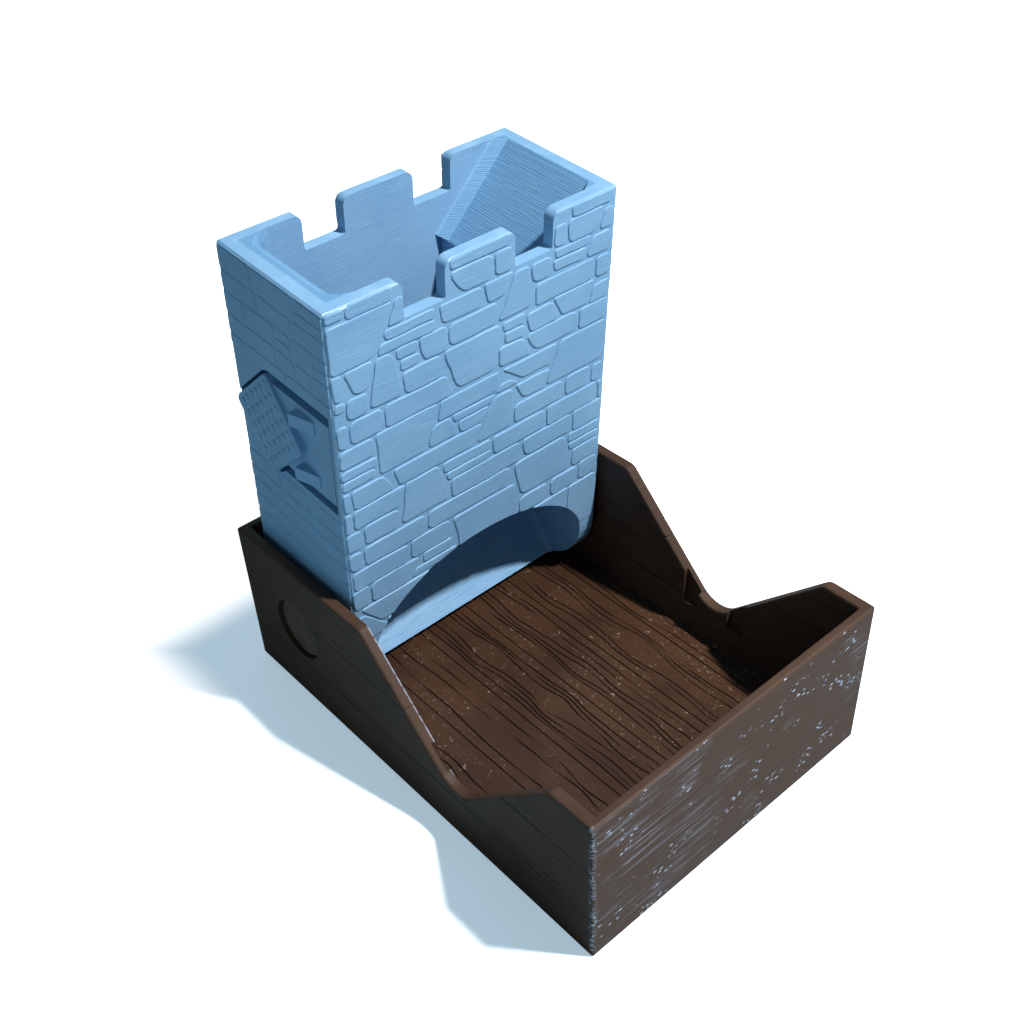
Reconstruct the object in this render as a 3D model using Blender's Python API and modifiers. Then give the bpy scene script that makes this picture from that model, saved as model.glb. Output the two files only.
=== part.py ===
"""Folding dice tower: an open tray with notched side walls, and a castle tower that turns on two pins.

Metres, +Z up, +Y to the back, origin at the bottom centre of the tray.
The tower's own pieces are drawn upright about the pivot and hang on an empty that carries the lean.
"""
from math import acos, ceil, cos, pi, radians, sin, sqrt, tan

import bmesh
import bpy
from mathutils import Matrix, Vector

# Tray
TRAY_WIDTH = 0.0900
TRAY_LENGTH = 0.1274
TRAY_HEIGHT = 0.0437
TRAY_SIDE_WALL = 0.0030
TRAY_END_WALL = 0.0024
TRAY_FLOOR = 0.0030
FRONT_FLAT = 0.0125
REAR_FLAT = 0.0516
NOTCH_FILLET = 0.0074
SHOULDER_FILLET = 0.0025
RIM_ROUND = 0.0006
RIM_ROUND_SEGMENTS = 2

# Tower body, and the room it has in the tray
TOWER_DEPTH = 0.0380
TOWER_WALL = 0.0030
TOWER_EDGE_ROUND = 0.0005
SIDE_CLEARANCE = 0.0017
BACK_CLEARANCE = 0.0008
FLOOR_CLEARANCE = 0.0017
SWING_CLEARANCE = 0.0005
LEAN = radians(4.3)

# Battlements on the front and back walls
CRENEL_WIDTH = 0.0110
CRENEL_DEPTH = 0.0090
MIDDLE_MERLON = 0.0194
MERLON_ROUND = 0.0022
CRENEL_ROUND = 0.0008

# Side walls: the latch tab, the room behind it and the lining towards the dice
TAB_THICKNESS = 0.0020
TAB_ROOM = 0.0032
LINING = 0.0020
LEG_WIDTH = 0.0053
FLARE_TOP = 0.0260
CHANNEL_FOOT = 0.0120
MOUTH_LIP_ROUND = 0.0030
CHANNEL_CORNER = 0.0040

# Upper ramp, on the right below the mouth
RIGHT_RIM = 0.0038
RAMP_REACH = 0.0190
RAMP_DROP = 0.0203
RAMP_CHAMFER = 0.0025
NOSE_HEIGHT = 0.0049
NOSE_ROUND = 0.0012

# Exit: the arch in the front wall and the ramp behind it
ARCH_SPRING_DROP = 0.0025
ARCH_RISE = 0.0227
ARCH_STEPS = 40
EXIT_TOP = 0.0200
LIP_ANGLE = radians(65)
EXIT_SLOPE = radians(47)
EXIT_CORNER = 0.0020
EXIT_STEP = 0.0002

# Latch tabs in the side walls
TAB_ROOT = 0.0174
TAB_HEIGHT = 0.0218
TAB_CENTRE_HEIGHT = 0.0611
TAB_SLOT = 0.0026
SEAT_GAP = 0.0003
PAD_SIDE = 0.0197
PAD_CENTRE_BACK = 0.0058
PAD_BELOW_TAB_CENTRE = 0.0011
PAD_CORNER = 0.0015
PAD_GAP = 0.00085
PAD_PROUD_HIGH = 0.0020
PAD_PROUD_LOW = 0.0006
PAD_BACKING = 0.0004
PAD_EDGE_ROUND = 0.0003
CATCH_LENGTH = 0.0065
CATCH_WIDTH = 0.0034
CATCH_PROUD = 0.0024
CATCH_TIP_PROUD = 0.0003
CATCH_ROOT = 0.0010
CATCH_CENTRE_FRONT = 0.0085
CATCH_OFF_CENTRE = 0.0075
GROOVE_SIDE_ROOM = 0.0009
GROOVE_DEPTH = 0.0013
GROOVE_FOOT_ROOM = 0.0006

# Pivot pins
PIN_HEAD_RADIUS = 0.0082
PIN_HEAD_RECESS = 0.0010
PIN_HEAD_CHAMFER = 0.0003
PIN_JOURNAL_RADIUS = 0.0060
PIN_TIP_CHAMFER = 0.0006
PIN_CLEARANCE = 0.0003
SOCKET_DEPTH = 0.0040
ROUND_SEGMENTS = 64

# How far a cutter runs past what it cuts, the finest step of an arc, and the weld distance
OVERRUN = 0.0030
ARC_STEP = radians(10)
WELD = 0.000001

# Worked out from the sizes above
tray_front = -TRAY_LENGTH / 2
tray_back = TRAY_LENGTH / 2
tray_inner_half = TRAY_WIDTH / 2 - TRAY_SIDE_WALL
tower_radius = TOWER_DEPTH / 2
tower_half_width = tray_inner_half - SIDE_CLEARANCE
tower_inner_half = tower_radius - TOWER_WALL
pivot_y = tray_back - TRAY_END_WALL - BACK_CLEARANCE - tower_radius
pivot_z = TRAY_FLOOR + FLOOR_CLEARANCE + tower_radius
swing_radius = pivot_y - tray_front - TRAY_END_WALL - SWING_CLEARANCE
tower_rise = sqrt(swing_radius ** 2 - tower_radius ** 2)
pocket_floor = tower_half_width - TAB_THICKNESS - TAB_ROOM
lining_face = pocket_floor - LINING
exit_half_width = tower_half_width - LEG_WIDTH
tab_face = tower_half_width - TAB_THICKNESS
pad_centre_height = TAB_CENTRE_HEIGHT - PAD_BELOW_TAB_CENTRE
upper_catch_height = TAB_CENTRE_HEIGHT + CATCH_OFF_CENTRE
lower_catch_height = TAB_CENTRE_HEIGHT - CATCH_OFF_CENTRE

# Turns that stand a flat outline up: u, v become Y, Z or X, Z
ALONG_X = Matrix.Rotation(pi / 2, 4, 'Z') @ Matrix.Rotation(pi / 2, 4, 'X')
ALONG_Y = Matrix.Rotation(pi / 2, 4, 'X')


def clear_scene():
    for obj in list(bpy.data.objects):
        bpy.data.objects.remove(obj, do_unlink=True)


def make_collection(name):
    collection = bpy.data.collections.new(name)
    bpy.context.scene.collection.children.link(collection)
    return collection


def make_material(name, colour, roughness):
    material = bpy.data.materials.new(name)
    material.use_nodes = True
    shader = material.node_tree.nodes['Principled BSDF']
    shader.inputs['Base Color'].default_value = (*colour, 1)
    shader.inputs['Roughness'].default_value = roughness
    shader.inputs['Metallic'].default_value = 0
    material.diffuse_color = (*colour, 1)
    return material


def rounded(corners):
    """Outline through (u, v, radius) corners, each turned with an arc of its radius."""
    points = []
    for index, (u, v, radius) in enumerate(corners):
        corner = Vector((u, v))
        if radius == 0:
            points.append(corner)
            continue
        before = (Vector(corners[index - 1][:2]) - corner).normalized()
        after = (Vector(corners[(index + 1) % len(corners)][:2]) - corner).normalized()
        half = acos(before.dot(after)) / 2
        centre = corner + (before + after).normalized() * radius / sin(half)
        start = corner + before * radius / tan(half) - centre
        sweep = start.angle_signed(corner + after * radius / tan(half) - centre)
        steps = ceil(abs(sweep) / ARC_STEP)
        for step in range(steps + 1):
            points.append(centre + Matrix.Rotation(-sweep * step / steps, 2) @ start)
    return points


def outline_mesh(name, points, thickness, turn):
    """Closed plate of the given thickness, its outline a filled flat curve, turned and centred."""
    curve = bpy.data.curves.new(name, 'CURVE')
    curve.dimensions = '2D'
    curve.fill_mode = 'BOTH'
    curve.extrude = thickness / 2
    spline = curve.splines.new('POLY')
    spline.points.add(len(points) - 1)
    for point, (u, v) in zip(spline.points, points):
        point.co = (u, v, 0, 1)
    spline.use_cyclic_u = True
    drawn = bpy.data.objects.new(name, curve)
    bpy.context.scene.collection.objects.link(drawn)
    depsgraph = bpy.context.evaluated_depsgraph_get()
    mesh = bpy.data.meshes.new_from_object(drawn.evaluated_get(depsgraph))
    mesh.name = name
    bpy.data.objects.remove(drawn)
    bpy.data.curves.remove(curve)
    bm = bmesh.new()
    bm.from_mesh(mesh)
    bmesh.ops.remove_doubles(bm, verts=bm.verts, dist=WELD)
    bmesh.ops.dissolve_limit(bm, angle_limit=radians(1), verts=bm.verts, edges=bm.edges)
    bmesh.ops.recalc_face_normals(bm, faces=bm.faces)
    bmesh.ops.transform(bm, matrix=turn, verts=bm.verts)
    bm.to_mesh(mesh)
    bm.free()
    return mesh


def box_mesh(name, low, high):
    mesh = bpy.data.meshes.new(name)
    low, high = Vector(low), Vector(high)
    bm = bmesh.new()
    bmesh.ops.create_cube(bm, size=1)
    bmesh.ops.scale(bm, vec=high - low, verts=bm.verts)
    bmesh.ops.translate(bm, vec=(low + high) / 2, verts=bm.verts)
    bm.to_mesh(mesh)
    bm.free()
    return mesh


def rod_mesh(name, radius, start, end):
    """Cylinder along X from start to end, on the pivot's axis."""
    mesh = bpy.data.meshes.new(name)
    bm = bmesh.new()
    bmesh.ops.create_cone(bm, cap_ends=True, segments=ROUND_SEGMENTS,
                          radius1=radius, radius2=radius, depth=abs(end - start))
    bmesh.ops.rotate(bm, matrix=Matrix.Rotation(pi / 2, 3, 'Y'), verts=bm.verts)
    bmesh.ops.translate(bm, vec=((start + end) / 2, 0, 0), verts=bm.verts)
    bm.to_mesh(mesh)
    bm.free()
    return mesh


def bevel_edges(mesh, wanted, width, segments):
    """Bevels the edges of a mesh whose two ends both pass the wanted test."""
    bm = bmesh.new()
    bm.from_mesh(mesh)
    edges = [edge for edge in bm.edges if wanted(*[vert.co for vert in edge.verts])]
    bmesh.ops.bevel(bm, geom=edges, offset=width, segments=segments, profile=0.5, affect='EDGES')
    bm.to_mesh(mesh)
    bm.free()


def mirror_mesh(mesh, name):
    """Copy of a mesh for the other side of the tower."""
    bm = bmesh.new()
    bm.from_mesh(mesh)
    bmesh.ops.scale(bm, vec=(-1, 1, 1), verts=bm.verts)
    bmesh.ops.reverse_faces(bm, faces=bm.faces)
    mirrored = bpy.data.meshes.new(name)
    bm.to_mesh(mirrored)
    bm.free()
    return mirrored


def add_part(name, mesh, material, parent=None):
    obj = bpy.data.objects.new(name, mesh)
    obj.data.materials.clear()
    obj.data.materials.append(material)
    parts.objects.link(obj)
    obj.parent = parent
    return obj


def cut(target, name, mesh, parent=None, operation='DIFFERENCE'):
    """Takes a cutter's shape out of a part, or joins it on."""
    cutter = bpy.data.objects.new(name, mesh)
    cutter.hide_render = True
    cutter.display_type = 'WIRE'
    cutters.objects.link(cutter)
    cutter.parent = parent
    modifier = target.modifiers.new(name, 'BOOLEAN')
    modifier.operation = operation
    modifier.solver = 'EXACT'
    modifier.object = cutter
    return cutter


def round_edges(obj, width, segments):
    modifier = obj.modifiers.new('edge_round', 'BEVEL')
    modifier.width = width
    modifier.segments = segments
    modifier.limit_method = 'ANGLE'
    modifier.angle_limit = radians(50)


def shade_round(mesh):
    mesh.shade_smooth()
    mesh.set_sharp_from_angle(angle=radians(35))


def make_tray(pivot):
    """Floor, end walls and side walls; each side wall has a notch cut down between two 45 degree slopes."""
    notch_half = (TRAY_LENGTH - FRONT_FLAT - REAR_FLAT) / 2
    notch_y = tray_front + FRONT_FLAT + notch_half
    side = [
        (tray_front, 0, 0),
        (tray_back, 0, 0),
        (tray_back, TRAY_HEIGHT, 0),
        (notch_y + notch_half, TRAY_HEIGHT, SHOULDER_FILLET),
        (notch_y, TRAY_HEIGHT - notch_half, NOTCH_FILLET),
        (notch_y - notch_half, TRAY_HEIGHT, SHOULDER_FILLET),
        (tray_front, TRAY_HEIGHT, 0),
    ]
    tray = add_part('tray', outline_mesh('tray', rounded(side), TRAY_WIDTH, ALONG_X),
                    make_material('tray_plastic', (0.050, 0.029, 0.019), 0.45))
    inside = box_mesh('tray_inside', (-tray_inner_half, tray_front + TRAY_END_WALL, TRAY_FLOOR),
                      (tray_inner_half, tray_back - TRAY_END_WALL, TRAY_HEIGHT + OVERRUN))
    cut(tray, 'tray_inside', inside)
    round_edges(tray, RIM_ROUND, RIM_ROUND_SEGMENTS)

    bore_radius = PIN_HEAD_RADIUS + PIN_CLEARANCE
    for side_name, sign in SIDES:
        start = sign * (tray_inner_half - OVERRUN)
        end = sign * (TRAY_WIDTH / 2 + OVERRUN)
        bore = cut(tray, 'pin_bore_' + side_name, rod_mesh('pin_bore_' + side_name, bore_radius, start, end))
        bore.location = pivot
        for catch_name, height in CATCHES:
            name = f'{catch_name}_groove_{side_name}'
            cut(tray, name, groove_mesh(name, sign, height, notch_y, notch_half))
    return tray


def groove_mesh(name, sign, height, notch_y, notch_half):
    """Groove in the tray's inner side face that takes a catch when the tower is folded flat."""
    half_width = CATCH_WIDTH / 2 + GROOVE_SIDE_ROOM
    centre_y = pivot_y - height
    foot = pivot_z - CATCH_CENTRE_FRONT - CATCH_LENGTH / 2 - GROOVE_FOOT_ROOM
    slope_height = TRAY_HEIGHT - notch_half + abs(centre_y - notch_y) + half_width
    faces = (sign * (tray_inner_half - OVERRUN), sign * (tray_inner_half + GROOVE_DEPTH))
    return box_mesh(name, (min(faces), centre_y - half_width, foot),
                    (max(faces), centre_y + half_width, slope_height + OVERRUN))


def make_pin(side_name, sign, pivot):
    """Turned pin: its head fills the bore of the tray's wall and its journal carries the tower."""
    head_face = TRAY_WIDTH / 2 - PIN_HEAD_RECESS
    shoulder = tower_half_width + PIN_CLEARANCE
    tip = tower_half_width - SOCKET_DEPTH + PIN_CLEARANCE
    profile = [
        (0, head_face),
        (PIN_HEAD_RADIUS - PIN_HEAD_CHAMFER, head_face),
        (PIN_HEAD_RADIUS, head_face - PIN_HEAD_CHAMFER),
        (PIN_HEAD_RADIUS, shoulder),
        (PIN_JOURNAL_RADIUS, shoulder),
        (PIN_JOURNAL_RADIUS, tip + PIN_TIP_CHAMFER),
        (PIN_JOURNAL_RADIUS - PIN_TIP_CHAMFER, tip),
        (0, tip),
    ]
    name = 'pivot_pin_' + side_name
    mesh = bpy.data.meshes.new(name)
    bm = bmesh.new()
    verts = [bm.verts.new((radius, 0, height)) for radius, height in profile]
    for first, second in zip(verts, verts[1:]):
        bm.edges.new((first, second))
    bm.to_mesh(mesh)
    bm.free()
    pin = add_part(name, mesh, make_material(name + '_plastic', (0.032, 0.020, 0.014), 0.40))
    pin.location = pivot
    pin.rotation_euler = (0, sign * pi / 2, 0)
    turn = pin.modifiers.new('turn', 'SCREW')
    turn.steps = ROUND_SEGMENTS
    turn.render_steps = ROUND_SEGMENTS
    turn.use_merge_vertices = True
    turn.merge_threshold = WELD
    turn.use_smooth_shade = False
    return pin


def channel_mesh():
    """The way for the dice: mouth, upper ramp and its nose on the right, lining walls, and a flared foot."""
    ramp_top = tower_half_width - RIGHT_RIM
    nose = ramp_top - RAMP_REACH
    nose_top = tower_rise - RAMP_DROP
    ramp_run = RAMP_REACH / RAMP_DROP
    nose_bottom = nose_top - NOSE_HEIGHT
    foot_half = exit_half_width + EXIT_STEP
    flare = foot_half - lining_face
    outline = rounded([
        (ramp_top + OVERRUN * ramp_run, tower_rise + OVERRUN, 0),
        (-lining_face - MOUTH_LIP_ROUND, tower_rise + OVERRUN, 0),
        (-lining_face - MOUTH_LIP_ROUND, tower_rise, 0),
        (-lining_face, tower_rise, MOUTH_LIP_ROUND),
        (-lining_face, FLARE_TOP, 0),
        (-foot_half, FLARE_TOP - flare, 0),
        (-foot_half, CHANNEL_FOOT, 0),
        (foot_half, CHANNEL_FOOT, 0),
        (foot_half, FLARE_TOP - flare, 0),
        (lining_face, FLARE_TOP, 0),
        (lining_face, nose_bottom - (lining_face - nose), 0),
        (nose, nose_bottom, NOSE_ROUND),
        (nose, nose_top, NOSE_ROUND),
    ])
    mesh = outline_mesh('channel', outline, 2 * tower_inner_half, ALONG_Y)
    end_face = tower_inner_half - WELD

    def on_left_corner(first, second):
        return all(abs(co.y) > end_face and co.x < -lining_face + WELD for co in (first, second)) \
            and abs(first.y - second.y) < WELD

    def on_ramp_edge(first, second):
        return all(abs(co.y) > end_face and co.z > nose_top and co.x > nose for co in (first, second)) \
            and abs(first.y - second.y) < WELD

    bevel_edges(mesh, on_ramp_edge, RAMP_CHAMFER, 1)
    bevel_edges(mesh, on_left_corner, CHANNEL_CORNER, 4)
    return mesh


def exit_mesh():
    """The way out: everything above the exit ramp, from the back wall to the front between the legs."""
    lip = Vector((-tower_radius * cos(LIP_ANGLE), -tower_radius * sin(LIP_ANGLE)))
    along = Vector((cos(EXIT_SLOPE), sin(EXIT_SLOPE)))
    outside = lip - along * 2 * OVERRUN
    half_depth = tower_inner_half - EXIT_STEP
    ramp_top = lip.y + (half_depth - lip.x) * tan(EXIT_SLOPE)
    outline = [
        (half_depth, ramp_top),
        (half_depth, EXIT_TOP),
        (-half_depth, EXIT_TOP),
        (-half_depth, -ARCH_SPRING_DROP),
        (-tower_radius - OVERRUN, -ARCH_SPRING_DROP),
        (-tower_radius - OVERRUN, outside.y),
        tuple(outside),
    ]
    mesh = outline_mesh('exit', outline, 2 * exit_half_width, ALONG_X)

    def on_ramp_side(first, second):
        along_x = abs(first.x - second.x) < WELD
        rising = min(first.z, second.z) < outside.y + WELD and abs(max(first.z, second.z) - ramp_top) < WELD
        return along_x and rising

    bevel_edges(mesh, on_ramp_side, EXIT_CORNER, 4)
    return mesh


def arch_mesh():
    """Half ellipse over the exit, through the front wall only."""
    outline = [(exit_half_width, -ARCH_SPRING_DROP - OVERRUN)]
    for step in range(ARCH_STEPS + 1):
        angle = pi * step / ARCH_STEPS
        outline.append((exit_half_width * cos(angle), ARCH_RISE * sin(angle) - ARCH_SPRING_DROP))
    outline.append((-exit_half_width, -ARCH_SPRING_DROP - OVERRUN))
    mesh = outline_mesh('arch', outline, TOWER_WALL + 2 * OVERRUN, ALONG_Y)
    mesh.transform(Matrix.Translation((0, -tower_inner_half - TOWER_WALL / 2, 0)))
    return mesh


def crenel_mesh(name, centre):
    """Gap between two merlons, with rounded shoulders, through the front and back walls."""
    half = CRENEL_WIDTH / 2
    foot = tower_rise - CRENEL_DEPTH
    outline = rounded([
        (centre + half + MERLON_ROUND, tower_rise + OVERRUN, 0),
        (centre - half - MERLON_ROUND, tower_rise + OVERRUN, 0),
        (centre - half - MERLON_ROUND, tower_rise, 0),
        (centre - half, tower_rise, MERLON_ROUND),
        (centre - half, foot, CRENEL_ROUND),
        (centre + half, foot, CRENEL_ROUND),
        (centre + half, tower_rise, MERLON_ROUND),
        (centre + half + MERLON_ROUND, tower_rise, 0),
    ])
    return outline_mesh(name, outline, TOWER_DEPTH + 2 * OVERRUN, ALONG_Y)


def pad_prism(name, side, corner, inner, outer):
    """Square prism along X, standing on its corner at the pad's place, with rounded corners."""
    half = side / 2
    square = rounded([(-half, -half, corner), (half, -half, corner), (half, half, corner), (-half, half, corner)])
    mesh = outline_mesh(name, square, outer - inner, ALONG_X)
    mesh.transform(Matrix.Translation(((outer + inner) / 2, 0, 0)))
    return mesh


def stand_on_corner(mesh):
    mesh.transform(Matrix.Translation((0, PAD_CENTRE_BACK, pad_centre_height)) @ Matrix.Rotation(-pi / 4, 4, 'X'))
    return mesh


def pad_mesh(name):
    """Thumb pad: its pressed face rises from the upper back edge to the lower front edge."""
    inner = tab_face - PAD_BACKING
    mesh = pad_prism(name, PAD_SIDE, PAD_CORNER, inner, tower_half_width + PAD_PROUD_HIGH)
    rise = (PAD_PROUD_HIGH - PAD_PROUD_LOW) / PAD_SIDE
    for vert in mesh.vertices:
        if vert.co.x > tower_half_width:
            vert.co.x -= (vert.co.z + PAD_SIDE / 2) * rise
    bevel_edges(mesh, lambda first, second: min(first.x, second.x) > tower_half_width, PAD_EDGE_ROUND, 1)
    return stand_on_corner(mesh)


def catch_mesh(name, height):
    """Wedge on the tab's outer face that climbs towards the back and ends in a steep step."""
    half_length = CATCH_LENGTH / 2
    half_width = CATCH_WIDTH / 2
    front = -CATCH_CENTRE_FRONT - half_length
    mesh = box_mesh(name, (tower_half_width - CATCH_ROOT, front, height - half_width),
                    (tower_half_width + CATCH_PROUD, front + CATCH_LENGTH, height + half_width))
    for vert in mesh.vertices:
        if vert.co.x > tower_half_width and vert.co.y < front + half_length:
            vert.co.x = tower_half_width + CATCH_TIP_PROUD
    return mesh


def make_latch(side_name, sign, root):
    """Spring tab cut free of the side wall, with its thumb pad and its two catches."""
    name = 'latch_tab_' + side_name
    half_height = TAB_HEIGHT / 2
    pieces = [
        box_mesh(name, (tab_face, SEAT_GAP - TAB_ROOT, TAB_CENTRE_HEIGHT - half_height),
                 (tower_half_width, PAD_CENTRE_BACK, TAB_CENTRE_HEIGHT + half_height)),
        pad_mesh('pad_' + side_name),
        catch_mesh('upper_catch_' + side_name, upper_catch_height),
        catch_mesh('lower_catch_' + side_name, lower_catch_height),
    ]
    if sign < 0:
        pieces = [mirror_mesh(mesh, mesh.name + '_mirrored') for mesh in pieces]
    for mesh in pieces:
        mesh.transform(Matrix.Translation(-root.location))
    tab = add_part(name, pieces[0], make_material(name + '_plastic', (0.165, 0.360, 0.560), 0.50), root)
    for mesh in pieces[1:]:
        cut(tab, mesh.name, mesh, root, 'UNION')
    return tab


def make_tower(frame):
    """Tower shell: round-bottomed box with battlements, dice channel, arch, latch windows and pin sockets."""
    side = rounded([
        (-tower_radius, tower_rise, 0),
        (-tower_radius, -tower_radius, tower_radius),
        (tower_radius, -tower_radius, tower_radius),
        (tower_radius, tower_rise, 0),
    ])
    tower = add_part('tower_shell', outline_mesh('tower_shell', side, 2 * tower_half_width, ALONG_X),
                     make_material('tower_plastic', (0.165, 0.360, 0.560), 0.50), frame)
    round_edges(tower, TOWER_EDGE_ROUND, 1)
    cut(tower, 'channel', channel_mesh(), frame)
    cut(tower, 'exit', exit_mesh(), frame)
    cut(tower, 'arch', arch_mesh(), frame)
    crenel_centre = (MIDDLE_MERLON + CRENEL_WIDTH) / 2
    for side_name, sign in SIDES:
        name = 'crenel_' + side_name
        cut(tower, name, crenel_mesh(name, sign * crenel_centre), frame)

    half_window = TAB_HEIGHT / 2 + TAB_SLOT
    outer = tower_half_width + OVERRUN
    for side_name, sign in SIDES:
        window = box_mesh('window_' + side_name,
                          (pocket_floor, -TAB_ROOT, TAB_CENTRE_HEIGHT - half_window),
                          (outer, PAD_CENTRE_BACK, TAB_CENTRE_HEIGHT + half_window))
        pad_window = stand_on_corner(pad_prism('pad_window_' + side_name, PAD_SIDE + 2 * PAD_GAP,
                                               PAD_CORNER + PAD_GAP, pocket_floor, outer))
        socket = rod_mesh('socket_' + side_name, PIN_JOURNAL_RADIUS + PIN_CLEARANCE,
                          tower_half_width - SOCKET_DEPTH, outer)
        for mesh in (window, pad_window, socket):
            if sign < 0:
                mesh = mirror_mesh(mesh, mesh.name + '_mirrored')
            cut(tower, mesh.name, mesh, frame)
    return tower


def add_empty(name, location, parent=None):
    empty = bpy.data.objects.new(name, None)
    empty.empty_display_size = tower_radius
    empty.location = location
    empty.parent = parent
    parts.objects.link(empty)
    return empty


SIDES = (('left', -1), ('right', 1))
CATCHES = (('upper', upper_catch_height), ('lower', lower_catch_height))

clear_scene()
parts = make_collection('dice_tower')
cutters = make_collection('dice_tower_cutters')

pivot_point = Vector((0, pivot_y, pivot_z))
make_tray(pivot_point)
for side_label, side_sign in SIDES:
    make_pin(side_label, side_sign, pivot_point)

tower_frame = add_empty('tower_pivot', pivot_point)
tower_frame.rotation_euler = (LEAN, 0, 0)
make_tower(tower_frame)
for side_label, side_sign in SIDES:
    root_place = (side_sign * (tower_half_width - TAB_THICKNESS / 2), SEAT_GAP - TAB_ROOT, TAB_CENTRE_HEIGHT)
    tab_root = add_empty('latch_root_' + side_label, root_place, tower_frame)
    make_latch(side_label, side_sign, tab_root)

for part in parts.objects:
    if part.type == 'MESH':
        shade_round(part.data)
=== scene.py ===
import math
import random

import bmesh
import bpy
from mathutils import Matrix, Vector, noise


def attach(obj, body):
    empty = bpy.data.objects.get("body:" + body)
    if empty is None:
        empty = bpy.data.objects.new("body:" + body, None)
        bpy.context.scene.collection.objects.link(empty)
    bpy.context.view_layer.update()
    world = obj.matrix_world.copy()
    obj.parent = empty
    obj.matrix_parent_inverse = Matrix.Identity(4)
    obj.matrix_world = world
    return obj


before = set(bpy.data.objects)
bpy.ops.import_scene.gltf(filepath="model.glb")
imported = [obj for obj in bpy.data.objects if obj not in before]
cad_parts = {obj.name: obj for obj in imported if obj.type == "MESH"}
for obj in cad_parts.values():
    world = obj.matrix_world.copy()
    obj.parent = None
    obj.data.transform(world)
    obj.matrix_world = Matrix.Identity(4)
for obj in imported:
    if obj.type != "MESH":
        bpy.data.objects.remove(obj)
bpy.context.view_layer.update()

mm = 0.001
scene = bpy.context.scene


# shader maths: a socket that can stand in a sum

class Val:
    def __init__(self, owner, socket):
        self.owner = owner
        self.socket = socket

    def maths(self, operation, first, second=0.0):
        return self.owner.node("ShaderNodeMath", {"operation": operation}, {0: first, 1: second})

    def __add__(self, other):
        return self.maths("ADD", self, other)

    def __radd__(self, other):
        return self.maths("ADD", other, self)

    def __sub__(self, other):
        return self.maths("SUBTRACT", self, other)

    def __rsub__(self, other):
        return self.maths("SUBTRACT", other, self)

    def __mul__(self, other):
        return self.maths("MULTIPLY", self, other)

    def __rmul__(self, other):
        return self.maths("MULTIPLY", other, self)

    def __pow__(self, other):
        return self.maths("POWER", self, other)

    def __rpow__(self, other):
        return self.maths("POWER", other, self)

    def __abs__(self):
        return self.maths("ABSOLUTE", self)


class NodeTree:
    # makes and joins the nodes of one tree
    def __init__(self, tree):
        self.tree = tree

    def node(self, kind, settings=None, inputs=None, out=0):
        made = self.tree.nodes.new(kind)
        for key, value in (settings or {}).items():
            setattr(made, key, value)
        for key, value in (inputs or {}).items():
            self.feed(made.inputs[key], value)
        return Val(self, made.outputs[out])

    def feed(self, socket, value):
        if isinstance(value, Val):
            self.tree.links.new(value.socket, socket)
        else:
            socket.default_value = value


class Finish(NodeTree):
    # one procedural material
    def __init__(self, name):
        self.material = bpy.data.materials.new(name)
        self.material.use_nodes = True
        super().__init__(self.material.node_tree)
        self.shader = self.tree.nodes["Principled BSDF"]

    def place(self, move=(0, 0, 0), turn=(0, 0, 0), stretch=(1, 1, 1)):
        # object coordinates, moved, turned and stretched
        objectPlace = self.node("ShaderNodeTexCoord", out="Object")
        return self.node("ShaderNodeMapping", {"vector_type": "POINT"},
                         {"Vector": objectPlace, "Location": move, "Rotation": turn, "Scale": stretch})

    def axes(self, vector):
        return [self.node("ShaderNodeSeparateXYZ", inputs={0: vector}, out=i) for i in range(3)]

    def join(self, x, y, z):
        return self.node("ShaderNodeCombineXYZ", inputs={0: x, 1: y, 2: z})

    def sine(self, value):
        return self.node("ShaderNodeMath", {"operation": "SINE"}, {0: value})

    def noise(self, vector, scale=1.0, detail=3.0, rough=0.55, distortion=0.0):
        return self.node("ShaderNodeTexNoise", {"noise_dimensions": "3D"},
                         {"Vector": vector, "Scale": scale, "Detail": detail,
                          "Roughness": rough, "Distortion": distortion})

    def smooth(self, value, low, high):
        # 0 below low, 1 above high, smooth between
        return self.node("ShaderNodeMapRange", {"interpolation_type": "SMOOTHSTEP"},
                         {"Value": value, "From Min": low, "From Max": high, "To Min": 0.0, "To Max": 1.0})

    def mix(self, factor, first, second):
        return self.node("ShaderNodeMix", {"data_type": "RGBA", "clamp_factor": True},
                         {0: factor, 6: first, 7: second}, out=2)

    def bump(self, height, distance):
        return self.node("ShaderNodeBump", inputs={"Height": height, "Distance": distance, "Strength": 1.0})

    def surface(self, **values):
        for key, value in values.items():
            self.feed(self.shader.inputs[key.replace("_", " ")], value)
        return self.material


def colour(red, green, blue):
    # screen colour to the linear one that nodes take
    def linear(part):
        part = part / 255
        return part / 12.92 if part <= 0.04045 else ((part + 0.055) / 1.055) ** 2.4
    return (linear(red), linear(green), linear(blue), 1.0)


def finishPiece(name, bm, material, body):
    mesh = bpy.data.meshes.new(name)
    bm.to_mesh(mesh)
    bm.free()
    for face in mesh.polygons:
        face.use_smooth = True
    mesh.materials.append(material)
    piece = bpy.data.objects.new(name, mesh)
    scene.collection.objects.link(piece)
    mesh.set_sharp_from_angle(angle=math.radians(38))
    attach(piece, body)
    return piece


# the tower as it stands: half sizes in mm, its pivot and its lean

tower = {
    "pivot": (0.0, 41.5, 23.7),
    "lean": 4.3,
    "halfWidth": 40.3,
    "halfDepth": 19.0,
    "datum": 101.0,
    "crenelCentre": 15.2,
    "crenelWidth": 11.0,
    "crenelFoot": 91.52,
    "archHalf": 35.0,
    "archSpring": -2.5,
    "archTop": 20.2,
}
lean = math.radians(tower["lean"])
towerPlace = (Matrix.Scale(mm, 4) @ Matrix.Translation(tower["pivot"])
              @ Matrix.Rotation(lean, 4, "X"))


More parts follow.
